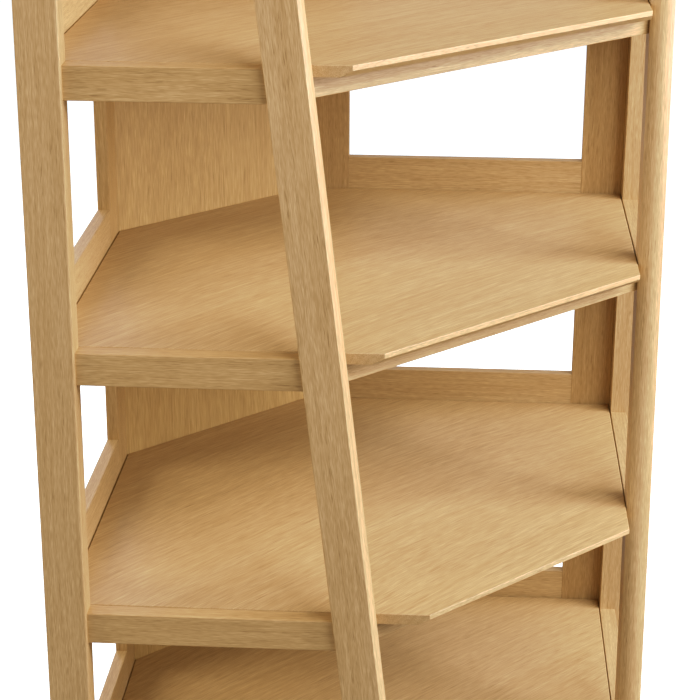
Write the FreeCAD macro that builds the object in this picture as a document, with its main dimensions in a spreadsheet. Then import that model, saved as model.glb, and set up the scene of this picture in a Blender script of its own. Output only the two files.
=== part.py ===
import FreeCAD, Part
import math
import os
import Sketcher

# A corner ladder shelf in oak. Its plan is a square with one corner of the square in the corner of
# the room, cut off by a diagonal back panel, and a diagonal front opposite it. The two halves mirror
# each other in the upright plane through that diagonal, so the left half is built and then mirrored.
# The left side frame stands square to the left wall, and the right side frame square to the back wall.

DIMENSIONS = {
    # the whole piece
    "width": 765,           # along each wall
    "height": 1830,
    "wallcut": 265,         # how much of each wall's length the diagonal back panel takes
    "glideheight": 4,
    # shelves
    "shelfcount": 5,
    "bottomshelf": 105,     # top face of the lowest board
    "spacing": 340,
    "board": 14,
    "boardgap": 1.5,        # between a board and the rails round it
    "bevelacross": 10.5,    # under the front edge of a board
    "bevelup": 7.8,
    # side frames
    "postwidth": 50,
    "postdepth": 32,
    "leanwidth": 46.5,      # the flat face of the leaning post
    "crown": 6.3,           # how far its rounded front edge stands out
    "lean": 0.114,          # how far it comes forward for each millimetre down
    "leanfoot": 402.5,      # back of the leaning post at the floor, from the wall
    "railheight": 40,
    "railthick": 24,
    "railsetback": 8,
    # wall frames
    "wallframe": 17,
    "stile": 60,
    "upstand": 48,          # how far a wall rail stands above its board
    # diagonal pieces
    "panel": 16,
    "panelbottom": 65,
    "apron": 18,
    "apronstep": 5,         # from the leaning post's front arris back to the apron
    # edges
    "arris": 1,
    "softarris": 2.5,
    # dowels, screws, glides and wall brackets
    "dowel": 8,
    "dowellength": 38,
    "pin": 6,
    "pinlength": 22,
    "play": 0.1,            # round a dowel in its hole
    "endplay": 1,           # past each end of a dowel
    "shelfpinin": 45,       # from a post to the nearer dowel between a board and its side rail
    "wallpinfront": 150,    # from the side frame to the first dowel between a board and its wall rail
    "wallpinback": 50,      # from the corner stile to the second
    "wallpindepth": 9,      # how deep that dowel starts in the wall rail
    "apronpin": 24,         # dowel between an apron and the leaning post
    "apronpinback": 8,      # from the apron's front arris to that dowel
    "apronrise": 20,        # dowel between an apron and its board
    "apronrisebelow": 12,   # how far that dowel reaches into the apron
    "apronrisealong": 110,  # from the side frame to that dowel
    "panelpinout": 11,      # from the wall to the dowel between the corner stile and the panel
    "panelpindepth": 12,    # how deep that dowel starts in the corner stile
    "screw": 4,
    "screwlength": 40,
    "screwhead": 8,
    "screwnear": 70,        # from the wall to each screw in the panel
    "screwfar": 180,
    "glide": 16,
    "glidepin": 4,
    "glidepinlength": 12,
    "bracket": 2,
    "bracketwidth": 20,
    "bracketleg": 30,
    "brackethole": 5,
    "bracketscrewlength": 16,
    "brackethead": 7,
    "bracketheadheight": 2,
}
# How far the front corner of each board stands in front of the leaning post's flat face, from the
# lowest board to the highest.
OVERHANGS = {
    "overhang1": 71,
    "overhang2": 71,
    "overhang3": 50.5,
    "overhang4": 50.5,
    "overhang5": 50.5,
}
# How far down a rail each of its two dowels is, as a share of the rail's height.
SIDE_RAIL_SHARES = (0.3, 0.7)
WALL_RAIL_SHARES = (0.25, 0.75)
# Tests of edges: how near two places are to count as one, how straight an edge is to count as running
# along an axis, and how long one is to be a whole side of a piece.
NEAR = 0.1
PARALLEL = 0.98
WHOLE_SIDE = 50
X, Y, Z = FreeCAD.Vector(1, 0, 0), FreeCAD.Vector(0, 1, 0), FreeCAD.Vector(0, 0, 1)
SHEET = "Dimensions"


class Size:
    """A length, kept as its value and as the expression that works it out from the spreadsheet."""

    def __init__(self, value, text):
        self.value, self.text = value, text

    def __add__(self, other):
        other = size(other)
        return Size(self.value + other.value, f"({self.text} + {other.text})")

    def __sub__(self, other):
        other = size(other)
        return Size(self.value - other.value, f"({self.text} - {other.text})")

    def __mul__(self, other):
        other = size(other)
        return Size(self.value * other.value, f"({self.text} * {other.text})")

    def __truediv__(self, other):
        other = size(other)
        return Size(self.value / other.value, f"({self.text} / {other.text})")

    def __neg__(self):
        return size(0) - self


def size(number):
    return number if isinstance(number, Size) else Size(float(number), f"{float(number):.6f}")


def make_sheet(doc):
    """Fills the spreadsheet and returns each of its cells as a Size."""
    sheet = doc.addObject("Spreadsheet::Sheet", SHEET)
    cells = {}
    for row, (name, value) in enumerate({**DIMENSIONS, **OVERHANGS}.items(), start=1):
        sheet.set(f"A{row}", name)
        sheet.set(f"B{row}", str(value))
        sheet.setAlias(f"B{row}", name)
        cells[name] = Size(float(value), f"{SHEET}.{name}")
    doc.recompute()
    return cells


doc = FreeCAD.newDocument("CornerLadderShelf")
dim = make_sheet(doc)
half = dim["width"] / 2
lean_axis = (-dim["lean"], size(0), size(1))
levels = range(1, DIMENSIONS["shelfcount"] + 1)
finished = []


def across(distance):
    """A place in plan, measured from the left wall, or from the left side frame's outer face."""
    return size(distance) - half


def shelf_top(level):
    return dim["bottomshelf"] + dim["spacing"] * (level - 1)


def rail_levels():
    """Each rail's name and the height of the side rail's top face. The highest has no board."""
    named = [(str(level), shelf_top(level)) for level in levels]
    return named + [("top", dim["height"])]


def lean_back(height):
    """The back of the leaning post at a height, from the wall."""
    return dim["leanfoot"] - dim["lean"] * height


def lean_front(height):
    return lean_back(height) + dim["leanwidth"]


# Making and binding shapes


def bind(obj, **sizes):
    for name, value in sizes.items():
        obj.setExpression(name.replace("_", "."), size(value).text)


def place(obj, x, y, z):
    bind(obj, Placement_Base_x=x, Placement_Base_y=y, Placement_Base_z=z)


def origin_plane(body, role):
    return next(o for o in body.Origin.OriginFeatures if o.Role == role)


def vector(point):
    return FreeCAD.Vector(point[0].value, point[1].value, 0)


def pin_point(sketch, geometry, end, point):
    """Holds a sketch point at its two distances from the sketch's origin."""
    for kind, value in zip(("DistanceX", "DistanceY"), point):
        row = sketch.addConstraint(Sketcher.Constraint(kind, -1, 1, geometry, end, value.value))
        sketch.setExpression(f"Constraints[{row}]", value.text)


def outline(body, role, points):
    """A closed sketch of straight lines through the points, on one of the body's origin planes."""
    sketch = body.newObject("Sketcher::SketchObject", f"{body.Name}Outline")
    sketch.AttachmentSupport = (origin_plane(body, role), [""])
    sketch.MapMode = "FlatFace"
    points = [(size(x), size(y)) for x, y in points]
    ends = points[1:] + points[:1]
    for start, end in zip(points, ends):
        sketch.addGeometry(Part.LineSegment(vector(start), vector(end)), False)
    for row, point in enumerate(points):
        pin_point(sketch, row, 1, point)
        following = (row + 1) % len(points)
        sketch.addConstraint(Sketcher.Constraint("Coincident", row, 2, following, 1))
    return sketch


def prism(name, role, points, length, at, reverse=False):
    """A body padded from an outline. Returns the body and the pad."""
    body = doc.addObject("PartDesign::Body", name)
    place(body, *at)
    pad = body.newObject("PartDesign::Pad", f"{name}Pad")
    sketch = outline(body, role, points)
    pad.Profile = sketch
    pad.Reversed = reverse
    bind(pad, Length=length)
    body.Tip = pad
    doc.recompute()
    return body, pad


def edge_names(shape, wanted):
    return [f"Edge{i}" for i, edge in enumerate(shape.Edges, start=1) if wanted(edge)]


def soften(body, base, wanted, radius):
    """Rounds the edges that the test picks."""
    fillet = body.newObject("PartDesign::Fillet", f"{base.Name}Arris")
    fillet.Base = (base, edge_names(base.Shape, wanted))
    bind(fillet, Radius=radius)
    body.Tip = fillet
    doc.recompute()
    return fillet


def runs_along(axis):
    def test(edge):
        direction = edge.Vertexes[-1].Point - edge.Vertexes[0].Point
        return direction.Length > 0 and abs(direction.normalize().dot(axis)) > PARALLEL

    return test


def plank(name, lengths, at, along):
    """A straight board with its long arrises rounded."""
    box = doc.addObject("Part::Box", f"{name}Blank")
    bind(box, Length=lengths[0], Width=lengths[1], Height=lengths[2])
    place(box, *at)
    doc.recompute()
    rounded = doc.addObject("Part::Fillet", f"{name}Rounded")
    rounded.Base = box
    test = runs_along(along)
    radius = dim["arris"].value
    rounded.Edges = [
        (row, radius, radius) for row, edge in enumerate(box.Shape.Edges, start=1) if test(edge)
    ]
    doc.recompute()
    return rounded


def rod(name, radius, length, start, axis):
    """A cylinder from a start point along an axis."""
    cylinder = doc.addObject("Part::Cylinder", name)
    bind(cylinder, Radius=radius, Height=length)
    cylinder.Placement.Rotation = FreeCAD.Rotation(Z, axis)
    place(cylinder, *start)
    return cylinder


def group(name, members):
    compound = doc.addObject("Part::Compound", name)
    compound.Links = members
    return compound


def mirrored(obj, name):
    """The right half's copy of a left half's object."""
    copy = doc.addObject("Part::Mirroring", name)
    copy.Source = obj
    copy.Base = FreeCAD.Vector(0, 0, 0)
    copy.Normal = X + Y
    return copy


def drilled(obj, drills, name):
    cut = doc.addObject("Part::Cut", name)
    cut.Base = obj
    cut.Tool = drills
    return cut


def finish(obj, label):
    """Names a sub-part's object and puts it on the list of sub-parts."""
    obj.Label = label
    finished.append(obj)


def finish_pair(obj, label):
    """The left half's sub-part and its mirror image."""
    finish(obj, f"left_{label}")
    finish(mirrored(obj, f"Right{obj.Name}"), f"right_{label}")


# Dowels. Each is a rod and the slightly larger hole that takes it, which both pieces are drilled with.


class Joinery:
    """The dowels of one kind and the drills for their holes."""

    def __init__(self, name, diameter):
        self.name, self.diameter = name, diameter
        self.dowels, self.drills = [], []

    def add(self, start, axis, length):
        """A dowel from a start point, along +X, +Y or +Z."""
        number = len(self.dowels) + 1
        self.dowels.append(
            rod(f"{self.name}{number}", self.diameter / 2, length, start, axis)
        )
        deeper = [
            value - dim["endplay"] if part else size(value) for value, part in zip(start, axis)
        ]
        self.drills.append(
            rod(
                f"{self.name}Drill{number}",
                self.diameter / 2 + dim["play"],
                size(length) + dim["endplay"] * 2,
                deeper,
                axis,
            )
        )


rail_dowels = Joinery("RailDowel", dim["dowel"])
wall_rail_dowels = Joinery("WallRailDowel", dim["dowel"])
stile_dowels = Joinery("StileDowel", dim["dowel"])
shelf_dowels = Joinery("ShelfDowel", dim["pin"])
apron_dowels = Joinery("ApronDowel", dim["pin"])
panel_dowels = Joinery("PanelDowel", dim["pin"])
reach = dim["dowellength"] / 2
pin_reach = dim["pinlength"] / 2
rail_middle = across(dim["railsetback"] + dim["railthick"] / 2)
wall_middle = across(dim["wallframe"] / 2)


def join_side_rail(top):
    """Two dowels at each end of a side rail."""
    for share in SIDE_RAIL_SHARES:
        height = top - dim["railheight"] * share
        back_start = across(dim["postwidth"] - reach)
        front_start = across(lean_back(height) - reach)
        for start in (back_start, front_start):
            rail_dowels.add((start, rail_middle, height), X, dim["dowellength"])


def join_wall_rail(bottom, top):
    """Two dowels at each end of a wall rail."""
    first = dim["postdepth"] + dim["stile"]
    last = dim["width"] - dim["wallcut"] - dim["stile"]
    for share in WALL_RAIL_SHARES:
        height = bottom + (top - bottom) * share
        for end in (first, last):
            wall_rail_dowels.add(
                (wall_middle, across(end - reach), height), Y, dim["dowellength"]
            )


def join_shelf(level):
    """Two dowels from the board into its side rail, and two into its wall rail."""
    top = shelf_top(level)
    height = top - dim["board"] / 2
    side_inset = dim["shelfpinin"]
    for place_along in (dim["postwidth"] + side_inset, lean_back(top) - side_inset):
        start = (across(place_along), across(dim["postdepth"] - pin_reach), height)
        shelf_dowels.add(start, Y, dim["pinlength"])
    wall_start = across(dim["wallframe"] - dim["wallpindepth"])
    stile_front = dim["width"] - dim["wallcut"] - dim["stile"]
    for place_along in (dim["wallpinfront"], stile_front - dim["wallpinback"]):
        shelf_dowels.add((wall_start, across(place_along), height), X, dim["pinlength"])


def apron_line(level):
    """Where the front face of an apron meets the left side frame's inner face, from the wall."""
    return lean_front(shelf_top(level)) - dim["apronstep"]


def join_apron(level):
    """A dowel into the leaning post and one up into the board."""
    under = shelf_top(level) - dim["board"]
    middle = under - (dim["railheight"] - dim["board"]) / 2
    line = apron_line(level)
    post_end = dim["postdepth"] - dim["apronpin"] / 2
    start = (across(line - dim["apronpinback"]), across(post_end), middle)
    apron_dowels.add(start, Y, dim["apronpin"])
    middle_line = line - dim["apron"] / 2 * math.sqrt(2)
    along = dim["apronrisealong"]
    start = (
        across(middle_line + along),
        across(dim["postdepth"] + along),
        under - dim["apronrisebelow"],
    )
    apron_dowels.add(start, Z, dim["apronrise"])


def join_stiles():
    """Dowels between the back post and its stile, and between the corner stile and the panel."""
    corner = dim["width"] - dim["wallcut"]
    for level in levels:
        height = shelf_top(level) + dim["spacing"] / 2
        start = (wall_middle, across(dim["postdepth"] - reach), height)
        stile_dowels.add(start, Y, dim["dowellength"])
        start = (across(dim["panelpinout"]), across(corner - dim["panelpindepth"]), height)
        panel_dowels.add(start, Y, dim["pinlength"])


for name, top in rail_levels():
    join_side_rail(top)
    rail_top = dim["height"] if name == "top" else top + dim["upstand"]
    join_wall_rail(rail_top - dim["upstand"] - dim["railheight"], rail_top)
for level in levels:
    join_shelf(level)
    join_apron(level)
join_stiles()


def drill_set(name, *kinds, extra=()):
    return group(name, [drill for kind in kinds for drill in kind.drills] + list(extra))


# Small parts


def glide_places():
    """Plan places of the left half's glides, under the two posts and the corner stile."""
    low = dim["glideheight"]
    middle = across(dim["postdepth"] / 2)
    corner = dim["width"] - dim["wallcut"] - dim["stile"] / 2
    return [
        (across(dim["postwidth"] / 2), middle),
        (across(lean_back(low) + dim["leanwidth"] / 2), middle),
        (wall_middle, across(corner)),
    ]


def make_glides():
    """Round glides pressed into the feet, and the holes for their pins."""
    glides, drills = [], []
    for number, (x, y) in enumerate(glide_places()):
        disc = rod(f"GlideDisc{number}", dim["glide"] / 2, dim["glideheight"], (x, y, 0), Z)
        height = dim["glideheight"] + dim["glidepinlength"]
        stem = rod(f"GlideStem{number}", dim["glidepin"] / 2, height, (x, y, 0), Z)
        glide = doc.addObject("Part::Fuse", f"Glide{number}")
        glide.Base, glide.Tool = disc, stem
        glides.append(glide)
        drill_height = height + dim["endplay"]
        wider = dim["glidepin"] / 2 + dim["play"]
        drills.append(rod(f"GlideDrill{number}", wider, drill_height, (x, y, 0), Z))
    return glides, drills


def make_wall_brackets():
    """Steel angles under the top wall rails, each with a hole for a screw into the wall."""
    bottom = dim["height"] - dim["upstand"] - dim["railheight"]
    along = across(dim["width"] / 3)
    leg, thick, wide = dim["bracketleg"], dim["bracket"], dim["bracketwidth"]
    top_leg = doc.addObject("Part::Box", "BracketTopLeg")
    bind(top_leg, Length=dim["wallframe"], Width=wide, Height=thick)
    place(top_leg, across(0), along, bottom - thick)
    wall_leg = doc.addObject("Part::Box", "BracketWallLeg")
    bind(wall_leg, Length=thick, Width=wide, Height=leg)
    place(wall_leg, across(0), along, bottom - leg)
    angle = doc.addObject("Part::Fuse", "BracketAngle")
    angle.Base, angle.Tool = top_leg, wall_leg
    middle = along + wide / 2
    hole_height = bottom - thick - (leg - thick) / 2
    hole_start = (across(0), middle, hole_height)
    wall_hole = rod("BracketWallHole", dim["brackethole"] / 2, thick, hole_start, X)
    screw_x = across((thick + dim["wallframe"]) / 2)
    shank_start = (screw_x, middle, bottom - thick)
    shank = rod("BracketScrewShank", dim["screw"] / 2, dim["bracketscrewlength"], shank_start, Z)
    head_start = (screw_x, middle, bottom - thick - dim["bracketheadheight"])
    head = rod("BracketScrewHead", dim["brackethead"] / 2, dim["bracketheadheight"], head_start, Z)
    screw = doc.addObject("Part::Fuse", "BracketScrew")
    screw.Base, screw.Tool = shank, head
    bracket = drilled(angle, group("BracketHoles", [wall_hole, shank]), "Bracket")
    finish_pair(bracket, "wall_bracket")
    both = group("BracketScrews", [screw, mirrored(screw, "RightBracketScrew")])
    finish(both, "bracket_screws")
    return shank


# Left half


def make_back_post():
    """Upright post against the left wall. Its outer arris toward the room is softer."""
    low = dim["glideheight"]
    corners = [
        (across(0), across(0)),
        (across(dim["postwidth"]), across(0)),
        (across(dim["postwidth"]), across(dim["postdepth"])),
        (across(0), across(dim["postdepth"])),
    ]
    body, pad = prism("BackPost", "XY_Plane", corners, dim["height"] - low, (0, 0, low))

    def upright_at(edge, corner):
        point = edge.Vertexes[0].Point
        away = (vector(corner) - FreeCAD.Vector(point.x, point.y, 0)).Length
        return runs_along(Z)(edge) and away < NEAR

    left_outer, room_outer, room_inner, left_inner = corners
    soft = soften(body, pad, lambda edge: upright_at(edge, room_outer), dim["softarris"])
    others = (left_outer, room_inner, left_inner)
    soften(body, soft, lambda edge: any(upright_at(edge, corner) for corner in others), dim["arris"])
    drills = drill_set("BackPostDrills", rail_dowels, stile_dowels, extra=[glide_drills[0]])
    return drilled(body, drills, "BackPostDrilled")


def make_front_post():
    """Leaning post. Its section has a flat back and sides and a rounded front edge."""
    low = dim["glideheight"]
    back, front = across(lean_back(low)), across(lean_front(low))
    outer, inner = across(0), across(dim["postdepth"])
    body = doc.addObject("PartDesign::Body", "FrontPost")
    place(body, 0, 0, low)
    pad = body.newObject("PartDesign::Pad", "FrontPostPad")
    sketch = body.newObject("Sketcher::SketchObject", "FrontPostOutline")
    sketch.AttachmentSupport = (origin_plane(body, "XY_Plane"), [""])
    sketch.MapMode = "FlatFace"
    corners = [(front, inner), (back, inner), (back, outer), (front, outer)]
    for start, end in zip(corners, corners[1:]):
        sketch.addGeometry(Part.LineSegment(vector(start), vector(end)), False)
    tip = (front + dim["crown"], (outer + inner) / 2)
    arc = Part.Arc(vector(corners[3]), vector(tip), vector(corners[0]))
    sketch.addGeometry(arc, False)
    for row in range(3):
        pin_point(sketch, row, 1, corners[row])
    pin_point(sketch, 2, 2, corners[3])
    for row in range(2):
        sketch.addConstraint(Sketcher.Constraint("Coincident", row, 2, row + 1, 1))
    sketch.addConstraint(Sketcher.Constraint("Coincident", 3, 1, 2, 2))
    sketch.addConstraint(Sketcher.Constraint("Coincident", 3, 2, 0, 1))
    half_depth = dim["postdepth"] / 2
    radius = (half_depth * half_depth + dim["crown"] * dim["crown"]) / (dim["crown"] * 2)
    row = sketch.addConstraint(Sketcher.Constraint("Radius", 3, radius.value))
    sketch.setExpression(f"Constraints[{row}]", radius.text)
    pad.Profile = sketch
    pad.UseCustomVector = True
    pad.AlongSketchNormal = True
    pad.Direction = FreeCAD.Vector(-dim["lean"].value, 0, 1)
    bind(pad, Direction_x=lean_axis[0], Length=dim["height"] - low)
    body.Tip = pad
    doc.recompute()
    upward = FreeCAD.Vector(-dim["lean"].value, 0, 1).normalize()
    soften(body, pad, runs_along(upward), dim["arris"])
    drills = drill_set("FrontPostDrills", rail_dowels, apron_dowels, extra=[glide_drills[1]])
    return drilled(body, drills, "FrontPostDrilled")


def make_side_rail(name, top, drills):
    """Rail between the two posts. Its front end is cut to the lean."""
    bottom = top - dim["railheight"]
    corners = [
        (across(dim["postwidth"]), bottom),
        (across(lean_back(bottom)), bottom),
        (across(lean_back(top)), top),
        (across(dim["postwidth"]), top),
    ]
    at = (0, across(dim["railsetback"]), 0)
    body, pad = prism(f"SideRail{name}", "XZ_Plane", corners, dim["railthick"], at, True)
    soften(body, pad, runs_along(X), dim["arris"])
    return drilled(body, drills, f"SideRail{name}Drilled")


def make_wall_rail(name, bottom, top, drills):
    """Rail against the wall. Its upper part stops things at the back of the board."""
    start = dim["postdepth"] + dim["stile"]
    length = dim["width"] - dim["wallcut"] - dim["stile"] - start
    rail = plank(
        f"WallRail{name}",
        (dim["wallframe"], length, top - bottom),
        (across(0), across(start), bottom),
        Y,
    )
    return drilled(rail, drills, f"WallRail{name}Drilled")


def make_stile(name, start, low, drills):
    stile = plank(
        name,
        (dim["wallframe"], dim["stile"], dim["height"] - low),
        (across(0), across(start), low),
        Z,
    )
    return drilled(stile, drills, f"{name}Drilled")


def make_left_half():
    finish_pair(make_back_post(), "back_post")
    finish_pair(make_front_post(), "front_post")
    drills = drill_set("WallStileDrills", wall_rail_dowels, stile_dowels)
    low = dim["glideheight"]
    wall_stile = make_stile("WallStile", dim["postdepth"], low, drills)
    finish_pair(wall_stile, "wall_stile")
    start = dim["width"] - dim["wallcut"] - dim["stile"]
    drills = drill_set(
        "CornerStileDrills", wall_rail_dowels, panel_dowels, extra=[glide_drills[2]]
    )
    finish_pair(make_stile("CornerStile", start, low, drills), "corner_stile")
    side_drills = drill_set("SideRailDrills", rail_dowels, shelf_dowels)
    wall_drills = drill_set(
        "WallRailDrills", wall_rail_dowels, shelf_dowels, extra=[bracket_screw_hole]
    )
    for name, top in rail_levels():
        label = "top_" if name == "top" else ""
        number = "" if name == "top" else f"_{name}"
        side = make_side_rail(name, top, side_drills)
        finish_pair(side, f"{label}side_rail{number}")
        rail_top = dim["height"] if name == "top" else top + dim["upstand"]
        bottom = rail_top - dim["upstand"] - dim["railheight"]
        wall = make_wall_rail(name, bottom, rail_top, wall_drills)
        finish_pair(wall, f"{label}wall_rail{number}")


# Diagonal pieces, each the same on both sides of the diagonal


def both_sides(corners):
    """An outline from its left half's corners, in order from the front to the back."""
    return corners + [(-y, -x) for x, y in reversed(corners)]


def board_corners(level):
    """The left half of a board's outline: side edge, wall edge and the end of the diagonal edge."""
    side = across(dim["postdepth"] + dim["boardgap"])
    wall = across(dim["wallframe"] + dim["boardgap"])
    front = across(lean_front(shelf_top(level)) + dim[f"overhang{level}"])
    diagonal = dim["width"] - dim["wallcut"] - dim["wallframe"]
    return [(front, side), (wall, side), (wall, wall + diagonal)]


def on_diagonal(edge, offset, height):
    """True for a straight edge parallel to the front edge, at that offset and height."""
    middle = edge.CenterOfMass
    slope = edge.Vertexes[-1].Point - edge.Vertexes[0].Point
    diagonal = abs(slope.x - slope.y) < NEAR and slope.Length > WHOLE_SIDE
    return diagonal and abs(middle.y - middle.x - offset) < NEAR and abs(middle.z - height) < NEAR


def make_shelf(level, drills):
    """Board with a bevel under its front edge, which leaves a thin edge in view."""
    corners = board_corners(level)
    thick = dim["board"]
    at = (0, 0, shelf_top(level) - thick)
    body, pad = prism(f"Shelf{level}", "XY_Plane", both_sides(corners), thick, at)
    offset = corners[0][1].value - corners[0][0].value
    under = edge_names(pad.Shape, lambda edge: on_diagonal(edge, offset, 0))
    bevel = body.newObject("PartDesign::Chamfer", f"Shelf{level}Bevel")
    bevel.Base = (pad, under)
    bevel.ChamferType = "Two distances"
    bind(bevel, Size=dim["bevelup"], Size2=dim["bevelacross"])
    body.Tip = bevel
    doc.recompute()
    height = thick.value
    soften(body, bevel, lambda edge: edge.BoundBox.ZMin > height - NEAR, dim["arris"])
    return drilled(body, drills, f"Shelf{level}Drilled")


def make_apron(level, drills):
    """Diagonal rail under the front of a board, between the two leaning posts."""
    line = apron_line(level)
    inner = across(dim["postdepth"])
    back = line - dim["apron"] * math.sqrt(2)
    corners = [(across(line), inner), (across(back), inner)]
    under = shelf_top(level) - dim["board"]
    tall = dim["railheight"] - dim["board"]
    points = both_sides(corners)
    body, pad = prism(f"Apron{level}", "XY_Plane", points, tall, (0, 0, under - tall))
    offset = inner.value - corners[0][0].value
    soften(body, pad, lambda edge: on_diagonal(edge, offset, 0), dim["arris"])
    return drilled(body, drills, f"Apron{level}Drilled")


def make_panel(drills):
    """Upright diagonal panel across the corner of the room, its ends cut back to the walls."""
    face = dim["width"] - dim["wallcut"] - dim["wallframe"]
    end = dim["width"] - dim["wallcut"]
    deep = dim["panel"] * math.sqrt(2)
    corners = [
        (across(end - face), across(end)),
        (across(0), across(end)),
        (across(0), across(face + deep)),
    ]
    low = dim["panelbottom"]
    points = both_sides(corners)
    body, pad = prism("Panel", "XY_Plane", points, dim["height"] - low, (0, 0, low))
    ends = [corners[0][0].value, -corners[0][1].value]

    def front_arris(edge):
        return runs_along(Z)(edge) and min(abs(edge.Vertexes[0].Point.x - x) for x in ends) < NEAR

    soften(body, pad, front_arris, dim["arris"])
    return drilled(body, drills, "PanelDrilled")


def panel_screws():
    """Countersunk screws through the back of the panel, two into each board, and their holes."""
    screws, drills = [], []
    face = dim["width"] - dim["wallcut"] - dim["wallframe"]
    deep = dim["panel"] * math.sqrt(2)
    inward = FreeCAD.Vector(1, -1, 0).normalize()
    rise = (dim["screwhead"] - dim["screw"]) / 2
    for level in levels:
        height = shelf_top(level) - dim["board"] / 2
        for label in ("near", "far"):
            sideways = dim[f"screw{label}"]
            start = (across(sideways), across(face + deep + sideways), height)
            name = f"Level{level}{label.title()}"
            head = doc.addObject("Part::Cone", f"ScrewHead{name}")
            bind(head, Radius1=dim["screwhead"] / 2, Radius2=dim["screw"] / 2, Height=rise)
            head.Placement.Rotation = FreeCAD.Rotation(Z, inward)
            place(head, *start)
            shank = rod(f"ScrewShank{name}", dim["screw"] / 2, dim["screwlength"], start, inward)
            socket = rod(f"ScrewSocket{name}", dim["screw"] / 4, rise, start, inward)
            whole = doc.addObject("Part::Fuse", f"ScrewWhole{name}")
            whole.Base, whole.Tool = shank, head
            screws.append(drilled(whole, socket, f"Screw{name}"))
            drills.append(whole)
    return screws, drills


def make_diagonals():
    screws, screw_holes = panel_screws()
    hole_group = group("PanelScrewHoles", screw_holes)
    left_shelf = drill_set("ShelfDrills", shelf_dowels, apron_dowels)
    left_apron = drill_set("ApronDrills", apron_dowels)
    left_panel = drill_set("PanelDrills", panel_dowels)
    shelf_all = group(
        "ShelfDrillsAll", [left_shelf, mirrored(left_shelf, "ShelfDrillsRight"), hole_group]
    )
    apron_all = group("ApronDrillsAll", [left_apron, mirrored(left_apron, "ApronDrillsRight")])
    panel_all = group(
        "PanelDrillsAll", [left_panel, mirrored(left_panel, "PanelDrillsRight"), hole_group]
    )
    for level in levels:
        finish(make_shelf(level, shelf_all), f"shelf_{level}")
        finish(make_apron(level, apron_all), f"front_apron_{level}")
    finish(make_panel(panel_all), "corner_back_panel")
    finish(group("PanelScrews", screws), "panel_screws")


def finish_dowels(kind, label):
    left = group(f"{kind.name}Left", kind.dowels)
    both = group(f"{kind.name}Both", [left, mirrored(left, f"{kind.name}Right")])
    finish(both, label)


def check():
    """Stops if any object failed or any sub-part is not a valid solid."""
    doc.recompute()
    for obj in doc.Objects:
        if "Invalid" in obj.State or "Error" in obj.State:
            raise RuntimeError(f"{obj.Name} failed: {obj.State}")
    for obj in finished:
        if obj.Shape.isNull() or not obj.Shape.isValid() or not obj.Shape.Solids:
            raise RuntimeError(f"{obj.Label} has no valid solid")


def write():
    os.makedirs("parts", exist_ok=True)
    for obj in finished:
        obj.Shape.exportStep(f"parts/{obj.Label}.step")
        print(f"{obj.Label}: {len(obj.Shape.Solids)} solids, {obj.Shape.Volume / 1000:.1f} cm3")


glides, glide_drills = make_glides()
bracket_screw_hole = make_wall_brackets()
make_left_half()
make_diagonals()
glide_group = group("Glides", glides)
finish(group("GlidesBoth", [glide_group, mirrored(glide_group, "GlidesRight")]), "foot_glides")
for kind, label in (
    (rail_dowels, "side_rail_dowels"),
    (wall_rail_dowels, "wall_rail_dowels"),
    (stile_dowels, "stile_dowels"),
    (shelf_dowels, "shelf_dowels"),
    (apron_dowels, "apron_dowels"),
    (panel_dowels, "panel_dowels"),
):
    finish_dowels(kind, label)
check()
write()
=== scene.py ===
import math

import bpy
from mathutils import Matrix, Vector

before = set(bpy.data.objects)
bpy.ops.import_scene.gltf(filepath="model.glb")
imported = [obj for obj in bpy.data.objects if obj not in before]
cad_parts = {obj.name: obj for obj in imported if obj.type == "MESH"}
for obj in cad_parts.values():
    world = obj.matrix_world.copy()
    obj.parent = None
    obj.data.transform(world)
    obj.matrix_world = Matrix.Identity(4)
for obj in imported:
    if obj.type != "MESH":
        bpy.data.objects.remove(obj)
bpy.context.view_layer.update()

# The row frame: the corner of the room is at -X, +Y, and the floor is at z = 0. Metres throughout.

LEAN = 0.114  # how far the leaning posts come forward, in metres for each metre down
BOARD_TURN = 3  # degrees between the boards' grain and the open front
ALONG_WALL_X = Vector((1, 0, 0))
ALONG_WALL_Y = Vector((0, 1, 0))
UPRIGHT = Vector((0, 0, 1))
ALONG_FRONT = Vector((1, 1, 0)).normalized()
BOARD_GRAIN = Matrix.Rotation(math.radians(BOARD_TURN), 3, "Z") @ ALONG_FRONT


# Node helpers


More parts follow.
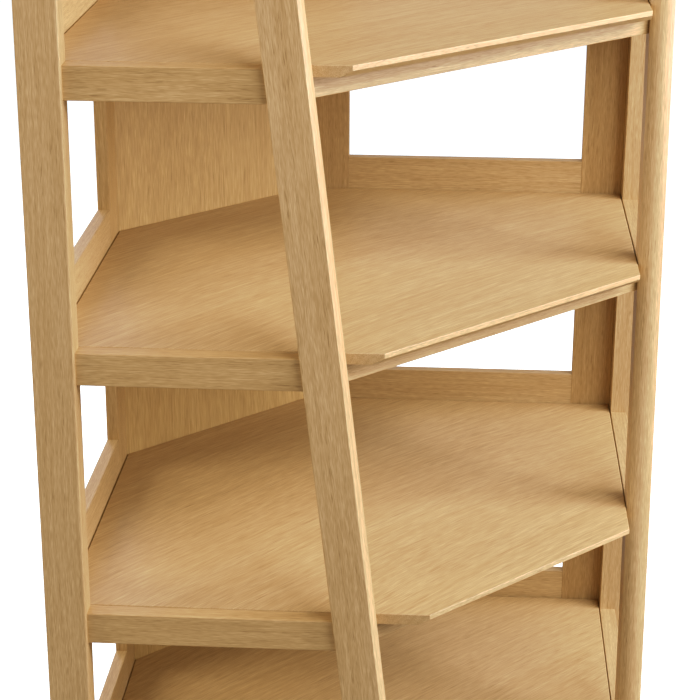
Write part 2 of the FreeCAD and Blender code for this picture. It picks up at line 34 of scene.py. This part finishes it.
class Tree:
    """Short ways to add nodes to a node tree and to link them."""

    def __init__(self, tree):
        self.tree = tree

    def add(self, kind, **inputs):
        node = self.tree.nodes.new(kind)
        for name, value in inputs.items():
            self.feed(node, name, value)
        return node

    def feed(self, node, name, value):
        socket = node.inputs[name.replace("_", " ")] if isinstance(name, str) else node.inputs[name]
        if isinstance(value, bpy.types.NodeSocket):
            self.tree.links.new(value, socket)
        else:
            socket.default_value = value

    def math(self, operation, first, second=0.0):
        node = self.tree.nodes.new("ShaderNodeMath")
        node.operation = operation
        self.feed(node, 0, first)
        self.feed(node, 1, second)
        return node.outputs[0]

    def vector(self, operation, first, second):
        node = self.tree.nodes.new("ShaderNodeVectorMath")
        node.operation = operation
        self.feed(node, 0, first)
        self.feed(node, 1, second)
        return node.outputs[0]

    def remap(self, value, low, high, to_low=0.0, to_high=1.0):
        node = self.add(
            "ShaderNodeMapRange",
            Value=value,
            From_Min=low,
            From_Max=high,
            To_Min=to_low,
            To_Max=to_high,
        )
        return node.outputs[0]

    def noise(self, vector, detail=2.0, roughness=0.5):
        node = self.add(
            "ShaderNodeTexNoise",
            Vector=vector,
            Scale=1.0,
            Detail=detail,
            Roughness=roughness,
        )
        return node.outputs["Fac"]

    def scaled(self, vector, along, across):
        """The vector stretched for a figure: repeats per metre along the grain and across it."""
        return self.vector("MULTIPLY", vector, (along, across, across))

    def blend(self, factor, first, second, kind="MIX"):
        node = self.tree.nodes.new("ShaderNodeMix")
        node.data_type = "RGBA"
        node.blend_type = kind
        self.feed(node, "Factor", factor)
        for socket, value in zip((node.inputs[6], node.inputs[7]), (first, second)):
            if isinstance(value, bpy.types.NodeSocket):
                self.tree.links.new(value, socket)
            else:
                socket.default_value = value
        return node.outputs[2]


def new_material(name):
    """A material, the helper for its nodes, and its shader."""
    material = bpy.data.materials.new(name)
    material.use_nodes = True
    tree = Tree(material.node_tree)
    shader = material.node_tree.nodes["Principled BSDF"]
    return material, tree, shader


# Oak

# Its palest wood, its middle tone, its dark lines and its open pores.
OAK_LIGHT = (0.640, 0.438, 0.218, 1)
OAK_MID = (0.538, 0.347, 0.155, 1)
OAK_DARK = (0.315, 0.182, 0.072, 1)
OAK_PORE = (0.200, 0.110, 0.042, 1)

OAK_ROUGHNESS = 0.48
OAK_IOR = 1.45
OAK_BUMP = 0.25
OAK_RELIEF = 0.0004  # metres

# Each layer of the figure: how many times it repeats in a metre along the grain and across it.
SWAY = (1.1, 3.2)
BROAD = (0.8, 9.0)
FLAME = (1.6, 40.0)
STREAKS = (2.2, 190.0)
LOOPS = (1.0, 5.0)
FIBRE = (8.0, 780.0)
FINE = (45.0, 1350.0)
PORES = (30.0, 1300.0)

# The part of a layer's range that its figure is drawn from: at the first value it starts, at the second
# it is full.
LAYER_RANGE = (0.32, 0.68)
SOFT_RANGE = (0.30, 0.70)
PORE_RANGE = (0.60, 0.68)
PORE_STREAK_RANGE = (0.30, 0.80)
RING_RANGE = (-0.3, 1.0)

# How strongly each layer colours the wood, from 0 to 1.
FLAME_TONE = 0.45
BROAD_TONE = 0.30
RING_TONE = 0.30
STREAK_TONE = 0.26
FIBRE_TONE = 0.46
FINE_TONE = 0.68
PORE_TONE = 0.70

# The figure goes through the thickness of a piece as well, a little more slowly than across its face.
THROUGH = 0.6
# How far apart in the figure the pieces lie: metres along the grain, across it and through it.
PIECE_STEP = (1.37, 0.713, 0.291)

# Pieces painted a little darker, paler or more golden than the rest, as painted shade and painted light
# for how the light falls on them.
PAINTED_LIGHT_AND_SHADE_TINTS = {
    "corner_back_panel": (1.06, 1.04, 0.86, 1),
    "left_wall_stile": (0.96, 0.92, 0.86, 1),
    "right_wall_stile": (0.96, 0.92, 0.86, 1),
    "left_corner_stile": (0.97, 0.93, 0.86, 1),
}
# Painted shade on the left side rails, and painted light on the right wall rails.
SIDE_RAIL_PAINTED_SHADE = (0.96, 0.93, 0.86, 1)
WALL_RAIL_PAINTED_LIGHT = (1.08, 1.10, 1.12, 1)


def growth_rings(t, grain, pitch, loops):
    """Fine dark lines along the grain, closing into long loops where the wood was cut along a ring."""
    parts = t.add("ShaderNodeSeparateXYZ", Vector=grain).outputs
    depth = t.math("ADD", parts["Y"], t.math("MULTIPLY", parts["Z"], THROUGH))
    swell = t.math("MULTIPLY", t.noise(t.scaled(grain, *LOOPS), detail=1.0), loops)
    count = t.math("ADD", t.math("MULTIPLY", depth, pitch), swell)
    return t.remap(t.math("SINE", t.math("MULTIPLY", count, 2 * math.pi)), *RING_RANGE)


def make_oak_figure():
    """Node group that turns a place in the wood, grain along its first axis, into colour and relief."""
    tree = bpy.data.node_groups.new("oak_figure", "ShaderNodeTree")
    for name in ("Place", "Piece"):
        tree.interface.new_socket(name, in_out="INPUT", socket_type="NodeSocketVector")
    for name in ("Wander", "Bow", "Pitch", "Loops", "Shortness"):
        tree.interface.new_socket(name, in_out="INPUT", socket_type="NodeSocketFloat")
    tree.interface.new_socket("Colour", in_out="OUTPUT", socket_type="NodeSocketColor")
    tree.interface.new_socket("Relief", in_out="OUTPUT", socket_type="NodeSocketFloat")
    t = Tree(tree)
    given = tree.nodes.new("NodeGroupInput")
    out = tree.nodes.new("NodeGroupOutput")

    along = t.add("ShaderNodeSeparateXYZ", Vector=given.outputs["Place"]).outputs["X"]
    bow = t.math("MULTIPLY", t.math("MULTIPLY", along, along), given.outputs["Bow"])
    bowed = t.vector("ADD", given.outputs["Place"], t.add("ShaderNodeCombineXYZ", Y=bow).outputs[0])
    shortened = t.add("ShaderNodeCombineXYZ", X=given.outputs["Shortness"], Y=1.0, Z=1.0).outputs[0]
    place = t.vector("MULTIPLY", t.vector("ADD", bowed, given.outputs["Piece"]), shortened)
    sway = t.math("SUBTRACT", t.noise(t.scaled(place, *SWAY), detail=2.0), 0.5)
    drift = t.math("MULTIPLY", sway, given.outputs["Wander"])
    shift = t.add("ShaderNodeCombineXYZ", Y=drift, Z=t.math("MULTIPLY", drift, THROUGH))
    grain = t.vector("ADD", place, shift.outputs[0])

    broad = t.remap(t.noise(t.scaled(grain, *BROAD), detail=2.0), *LAYER_RANGE)
    flame = t.remap(t.noise(t.scaled(grain, *FLAME), detail=2.0), *SOFT_RANGE)
    streaks = t.remap(t.noise(t.scaled(grain, *STREAKS), detail=2.0, roughness=0.6), *LAYER_RANGE)
    fibre = t.remap(t.noise(t.scaled(grain, *FIBRE), detail=2.0, roughness=0.6), *LAYER_RANGE)
    fine = t.remap(t.noise(t.scaled(place, *FINE), detail=1.0), *SOFT_RANGE)
    pores = t.remap(t.noise(t.scaled(place, *PORES), detail=1.0), *PORE_RANGE)
    rings = growth_rings(t, grain, given.outputs["Pitch"], given.outputs["Loops"])
    open_pores = t.math("MULTIPLY", pores, t.remap(streaks, *PORE_STREAK_RANGE))

    colour = t.blend(t.math("MULTIPLY", flame, FLAME_TONE), OAK_LIGHT, OAK_MID)
    colour = t.blend(t.math("MULTIPLY", broad, BROAD_TONE), colour, OAK_MID)
    colour = t.blend(t.math("MULTIPLY", t.math("MULTIPLY", rings, flame), RING_TONE), colour, OAK_DARK)
    colour = t.blend(t.math("MULTIPLY", streaks, STREAK_TONE), colour, OAK_DARK)
    colour = t.blend(t.math("MULTIPLY", fibre, FIBRE_TONE), colour, OAK_DARK)
    colour = t.blend(t.math("MULTIPLY", fine, FINE_TONE), colour, OAK_DARK)
    colour = t.blend(t.math("MULTIPLY", open_pores, PORE_TONE), colour, OAK_PORE)
    t.feed(out, "Colour", colour)
    t.feed(out, "Relief", t.math("MULTIPLY", t.math("ADD", fibre, open_pores), -0.5))
    return tree


OAK_FIGURE = make_oak_figure()


# The painted light or shade that is multiplied into a piece's wood colour; plain white for pieces
# without it.
def painted_light_and_shade_of(node):
    if node.startswith("left_side_rail_"):
        return SIDE_RAIL_PAINTED_SHADE
    if node.startswith("right_wall_rail_"):
        return WALL_RAIL_PAINTED_LIGHT
    return PAINTED_LIGHT_AND_SHADE_TINTS.get(node, (1, 1, 1, 1))


def oak(name, grain, seed, cut, bow):
    """Satin oak whose grain runs along a direction. Each piece has its own part of the figure."""
    material, t, shader = new_material(f"oak_{name}")
    coordinates = t.add("ShaderNodeTexCoord").outputs["Object"]
    mapping = t.add("ShaderNodeMapping", Vector=coordinates)
    mapping.inputs["Rotation"].default_value = grain.rotation_difference(Vector((1, 0, 0))).to_euler()
    figure = t.add("ShaderNodeGroup")
    figure.node_tree = OAK_FIGURE
    t.feed(figure, "Place", mapping.outputs[0])
    figure.inputs["Piece"].default_value = [seed * step for step in PIECE_STEP]
    for setting, value in cut.items():
        figure.inputs[setting].default_value = value
    figure.inputs["Bow"].default_value = bow
    # The figure's colour times the piece's painted light or shade.
    grain_and_painted_light = t.blend(1.0, figure.outputs["Colour"], painted_light_and_shade_of(name), kind="MULTIPLY")
    t.feed(shader, "Base Color", grain_and_painted_light)
    shader.inputs["Roughness"].default_value = OAK_ROUGHNESS
    shader.inputs["IOR"].default_value = OAK_IOR
    bump = t.add("ShaderNodeBump", Strength=OAK_BUMP, Distance=OAK_RELIEF)
    t.feed(bump, "Height", figure.outputs["Relief"])
    t.feed(shader, "Normal", bump.outputs[0])
    return material


# Metal, plastic and dowels. Each has two colours, and a least and a greatest roughness.

SPECK_BUMP = 0.3
SPECK_RANGE = (0.35, 0.65)
STEEL_COLOURS = ((0.66, 0.66, 0.65), (0.54, 0.55, 0.55))
STEEL_ROUGHNESS = (0.26, 0.42)
NYLON_COLOURS = ((0.024, 0.024, 0.025), (0.014, 0.014, 0.015))
NYLON_ROUGHNESS = (0.42, 0.58)
BEECH_COLOURS = ((0.64, 0.45, 0.27), (0.52, 0.34, 0.18))
BEECH_ROUGHNESS = (0.52, 0.66)


def speckled(name, colours, roughness, cell, relief, metallic=0.0):
    """A material whose colour and roughness vary in specks. Their size and relief are in metres."""
    material, t, shader = new_material(name)
    place = t.scaled(t.add("ShaderNodeTexCoord").outputs["Object"], 1 / cell, 1 / cell)
    specks = t.remap(t.noise(place, detail=3.0, roughness=0.6), *SPECK_RANGE)
    t.feed(shader, "Base Color", t.blend(specks, (*colours[0], 1), (*colours[1], 1)))
    t.feed(shader, "Roughness", t.remap(specks, 0.0, 1.0, *roughness))
    shader.inputs["Metallic"].default_value = metallic
    bump = t.add("ShaderNodeBump", Strength=SPECK_BUMP, Distance=relief)
    t.feed(bump, "Height", specks)
    t.feed(shader, "Normal", bump.outputs[0])
    return material


def dress(node, material):
    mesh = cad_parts[node].data
    mesh.materials.clear()
    mesh.materials.append(material)


def grain_of(node):
    """The direction that a wooden node's grain runs in."""
    if node.startswith("shelf_"):
        return BOARD_GRAIN
    if node.startswith("front_apron_"):
        return ALONG_FRONT
    if node == "left_front_post":
        return Vector((-LEAN, 0, 1)).normalized()
    if node == "right_front_post":
        return Vector((0, LEAN, 1)).normalized()
    if "rail" in node:
        left_side = node.startswith("left") and "side_rail" in node
        right_wall = node.startswith("right") and "wall_rail" in node
        return ALONG_WALL_X if left_side or right_wall else ALONG_WALL_Y
    return UPRIGHT


# How each kind of piece was cut: how far its grain wanders, its growth rings in a metre, how many rings
# the figure swells by, and how many times shorter its streaks are.
BOARD_CUT = {"Wander": 0.12, "Pitch": 105.0, "Loops": 12.0, "Shortness": 1.0}
SOLID_CUT = {"Wander": 0.03, "Pitch": 210.0, "Loops": 3.0, "Shortness": 1.8}
SHELF_BOW = 0.12


def is_board(node):
    return node.startswith("shelf_") or node == "corner_back_panel"


def dress_frame():
    steel = speckled(
        "zinc_plated_steel", STEEL_COLOURS, STEEL_ROUGHNESS, cell=0.0012, relief=0.00004, metallic=1.0
    )
    nylon = speckled("dark_nylon", NYLON_COLOURS, NYLON_ROUGHNESS, cell=0.0006, relief=0.00006)
    beech = speckled("beech_dowel", BEECH_COLOURS, BEECH_ROUGHNESS, cell=0.0009, relief=0.00008)
    for seed, node in enumerate(sorted(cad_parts), start=1):
        if node.endswith("dowels"):
            dress(node, beech)
        elif "screws" in node or "bracket" in node:
            dress(node, steel)
        elif node == "foot_glides":
            dress(node, nylon)
        else:
            cut = BOARD_CUT if is_board(node) else SOLID_CUT
            bow = SHELF_BOW if node.startswith("shelf_") else 0.0
            dress(node, oak(node, grain_of(node), seed, cut, bow))


dress_frame()


# Floor, light and camera

FLOOR_RADIUS = 25
SWEEP_RADIUS = 15
SWEEP_STEPS = 12
SWEEP_SIDES = 64
FLOOR_COLOUR = (0.95, 0.95, 0.95, 1)
FLOOR_ROUGHNESS = 0.9
FLOOR_GLOW = 0.62

SKY_STRENGTH = 0.41
LIGHT_TARGET = (0, 0, 0.9)
# Each soft light: its name, place, width and height, power in watts, and colour.
LIGHTS = (
    ("key", (2.7, -0.45, 1.9), (1.6, 1.8), 150, (1.00, 1.00, 1.00)),
    ("high", (1.6, -1.8, 3.2), (1.6, 1.6), 92, (0.92, 0.94, 0.96)),
    ("left", (-2.7, -0.6, 1.9), (1.6, 1.8), 78, (1.00, 0.96, 0.86)),
    ("behind", (-1.9, 2.3, 1.7), (1.8, 1.8), 40, (1.00, 1.00, 1.00)),
)

CAMERA_PLACE = (0.1121, -2.4914, 1.5832)
CAMERA_YAW = 3.34  # degrees, as are the pitch and the roll
CAMERA_PITCH = 20.31
CAMERA_ROLL = 0.29
SENSOR_WIDTH = 36  # millimetres, as is the lens
LENS = 100.83

# The picture's warm, slightly faded tones: points on each channel's curve, in and out.
RED_TONES = ((0.35, 0.375), (0.55, 0.56), (0.72, 0.67), (0.88, 0.82))
GREEN_TONES = ((0.20, 0.20), (0.35, 0.355), (0.60, 0.615))
BLUE_TONES = ((0.10, 0.083), (0.16, 0.155), (0.24, 0.255), (0.34, 0.38), (0.50, 0.57))


def make_floor():
    """A pale floor that sweeps up far away. Only the eye sees it, so the wood gets no glow from it."""
    points = [(0, 0, 0)]
    for step in range(SWEEP_STEPS + 1):
        turn = math.pi / 2 * step / SWEEP_STEPS
        radius = FLOOR_RADIUS + SWEEP_RADIUS * math.sin(turn)
        height = SWEEP_RADIUS * (1 - math.cos(turn))
        for side in range(SWEEP_SIDES):
            angle = 2 * math.pi * side / SWEEP_SIDES
            points.append((radius * math.cos(angle), radius * math.sin(angle), height))
    faces = []
    for side in range(SWEEP_SIDES):
        after = (side + 1) % SWEEP_SIDES
        faces.append((0, 1 + side, 1 + after))
        for step in range(SWEEP_STEPS):
            low = 1 + step * SWEEP_SIDES
            high = low + SWEEP_SIDES
            faces.append((low + side, high + side, high + after, low + after))
    mesh = bpy.data.meshes.new("floor")
    mesh.from_pydata(points, [], faces)
    mesh.shade_smooth()
    floor = bpy.data.objects.new("floor", mesh)
    bpy.context.scene.collection.objects.link(floor)
    material, _, shader = new_material("pale_floor")
    shader.inputs["Base Color"].default_value = FLOOR_COLOUR
    shader.inputs["Roughness"].default_value = FLOOR_ROUGHNESS
    shader.inputs["Specular IOR Level"].default_value = 0.0
    shader.inputs["Emission Color"].default_value = (1, 1, 1, 1)
    shader.inputs["Emission Strength"].default_value = FLOOR_GLOW
    mesh.materials.append(material)
    floor.visible_diffuse = False
    floor.visible_glossy = False
    floor.visible_shadow = False


def area_light(name, place, size, power, colour):
    """A rectangular light that faces the middle of the object."""
    data = bpy.data.lights.new(name, "AREA")
    data.shape = "RECTANGLE"
    data.size, data.size_y = size
    data.energy = power
    data.color = colour
    light = bpy.data.objects.new(name, data)
    bpy.context.scene.collection.objects.link(light)
    light.location = place
    direction = Vector(LIGHT_TARGET) - light.location
    light.rotation_euler = direction.to_track_quat("-Z", "Y").to_euler()


def make_world():
    """An even white light from all round."""
    world = bpy.data.worlds.new("studio")
    bpy.context.scene.world = world
    world.use_nodes = True
    background = world.node_tree.nodes["Background"]
    background.inputs["Color"].default_value = (1, 1, 1, 1)
    background.inputs["Strength"].default_value = SKY_STRENGTH


def make_camera():
    """Above the middle boards, looking down at them a little from the left half's front."""
    data = bpy.data.cameras.new("camera")
    camera = bpy.data.objects.new("camera", data)
    bpy.context.scene.collection.objects.link(camera)
    bpy.context.scene.camera = camera
    turn = (
        Matrix.Rotation(math.radians(CAMERA_YAW), 4, "Z")
        @ Matrix.Rotation(math.radians(90 - CAMERA_PITCH), 4, "X")
        @ Matrix.Rotation(math.radians(CAMERA_ROLL), 4, "Z")
    )
    camera.matrix_world = Matrix.Translation(CAMERA_PLACE) @ turn
    data.sensor_width = SENSOR_WIDTH
    data.lens = LENS
    data.clip_start = 0.05
    data.clip_end = 100


def develop_picture():
    """Warm, slightly faded tone curves, one for each channel."""
    view = bpy.context.scene.view_settings
    view.view_transform = "Standard"
    view.use_curve_mapping = True
    for channel, points in enumerate((RED_TONES, GREEN_TONES, BLUE_TONES)):
        curve = view.curve_mapping.curves[channel]
        for tone, developed in points:
            curve.points.new(tone, developed)
    view.curve_mapping.update()


make_floor()
make_world()
for name, place, size, power, colour in LIGHTS:
    area_light(name, place, size, power, colour)
make_camera()
develop_picture()
